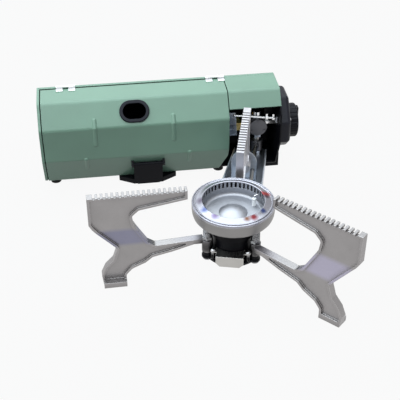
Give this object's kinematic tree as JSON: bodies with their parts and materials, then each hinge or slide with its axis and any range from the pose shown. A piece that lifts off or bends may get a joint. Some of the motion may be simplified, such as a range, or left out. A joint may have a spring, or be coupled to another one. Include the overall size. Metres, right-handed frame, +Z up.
{
  "type": "folding camping gas stove",
  "caption": "Folding camping gas stove: sheet housing with lidded cartridge bay, swing arm with a round slotted burner, folding toothed legs as pan supports.",
  "frame": {"origin": "on the ground, under the middle of the whole part's bounding box", "axes": "+X along the housing towards the knob, +Y from the burner towards the housing, +Z up"},
  "size_m": [0.3014, 0.3486, 0.111],
  "materials": {
    "green_paint": "satin powder coat",
    "black_sheet": "matte black coat",
    "black_plastic": "fine grained",
    "gloss_black": "gloss",
    "rubber": "matte",
    "brass": "machined",
    "zinc_steel": "bright zinc plated",
    "bright_steel": "bright nickel",
    "stainless": "polished and satin stainless",
    "die_cast": "as cast",
    "cast_aluminium": "satin as cast",
    "ceramic": "glazed white"
  },
  "bodies": {
    "housing": {"base_shell": "green_paint", "left_end_plate": "green_paint", "partition_wall": "black_sheet", "right_bulkhead": "black_sheet", "cartridge_liner": "black_sheet", "control_box_liner": "black_sheet", "control_box_roof": "green_paint", "body_hinges": "bright_steel", "catch_foot": "black_sheet", "rubber_feet": "rubber", "right_foot": "black_plastic", "can_cradle": "black_sheet", "can_magnets": "zinc_steel", "can_connector": "brass", "connector_seal": "rubber", "connector_bracket": "zinc_steel", "regulator_body": "die_cast", "regulator_cap": "bright_steel", "link_rod": "bright_steel", "rod_clips": "bright_steel", "clip_post": "zinc_steel", "side_panel": "black_plastic", "piezo_igniter": "black_plastic", "housing_screws": "bright_steel", "arm_pivot_bush": "zinc_steel", "arm_pivot_pin": "bright_steel", "gas_downpipe": "stainless", "union_nut": "zinc_steel"},
    "lid_body": {"lid": "green_paint", "window_bezel": "gloss_black", "lid_hinge_leaves": "bright_steel", "latch_mount": "zinc_steel"},
    "latch_body": {"latch": "black_sheet"},
    "knob_body": {"valve_spindle": "bright_steel", "igniter_cam": "black_plastic", "control_knob": "black_plastic"},
    "plunger_body": {"igniter_plunger": "bright_steel"},
    "arm_body": {"swing_arm": "zinc_steel", "swivel_elbow": "die_cast", "gas_pipe": "stainless", "gas_nozzle": "brass", "mixing_tube": "stainless", "pipe_rest": "zinc_steel", "base_disc": "black_sheet", "burner_drum": "black_sheet", "burner_pan": "stainless", "burner_bowl": "cast_aluminium", "burner_ring": "stainless", "electrode_ceramic": "ceramic", "electrode_wire": "bright_steel", "burner_posts": "bright_steel", "post_washers": "bright_steel", "post_nuts": "bright_steel", "post_sleeves": "bright_steel", "leg_stop_bracket": "stainless", "stop_pillars_and_rivets": "bright_steel", "rear_support": "cast_aluminium", "rear_support_fixing": "zinc_steel"},
    "left_leg_body": {"left_leg": "cast_aluminium"},
    "right_leg_body": {"right_leg": "cast_aluminium"}
  },
  "joints": [
    {"name": "lid_hinge", "type": "hinge", "parent": "housing", "child": "lid_body", "pos_m": [-0.04125, 0.14131, 0.1093], "axis": [-1, 0, 0], "range_deg": [0, 105]},
    {"name": "latch_turn", "type": "hinge", "parent": "lid_body", "child": "latch_body", "pos_m": [-0.0303, 0.09141, 0.03012], "axis": [-1, 0, 0], "range_deg": [0, 60]},
    {"name": "knob_turn", "type": "hinge", "parent": "housing", "child": "knob_body", "pos_m": [0.1365, 0.12631, 0.054], "axis": [1, 0, 0], "range_deg": [0, 100]},
    {"name": "igniter_press", "type": "slide", "parent": "housing", "child": "plunger_body", "axis": [-1, 0, 0], "range_m": [0, 0.004]},
    {"name": "arm_swing", "type": "hinge", "parent": "housing", "child": "arm_body", "pos_m": [0.10018, 0.11516, 0.02], "axis": [0, 0, 1], "range_deg": [0, 15]},
    {"name": "left_leg_fold", "type": "hinge", "parent": "arm_body", "child": "left_leg_body", "pos_m": [0.01394, -0.07681, 0.0335], "axis": [0, 0, 1], "range_deg": [-2.5, 70]},
    {"name": "right_leg_fold", "type": "hinge", "parent": "arm_body", "child": "right_leg_body", "pos_m": [0.05995, -0.08914, 0.0335], "axis": [0, 0, -1], "range_deg": [-15, 56]}
  ],
  "couplings": [
    {"joint": "igniter_press", "follows": "knob_turn", "m_per_rad": 0.0022918}
  ]
}
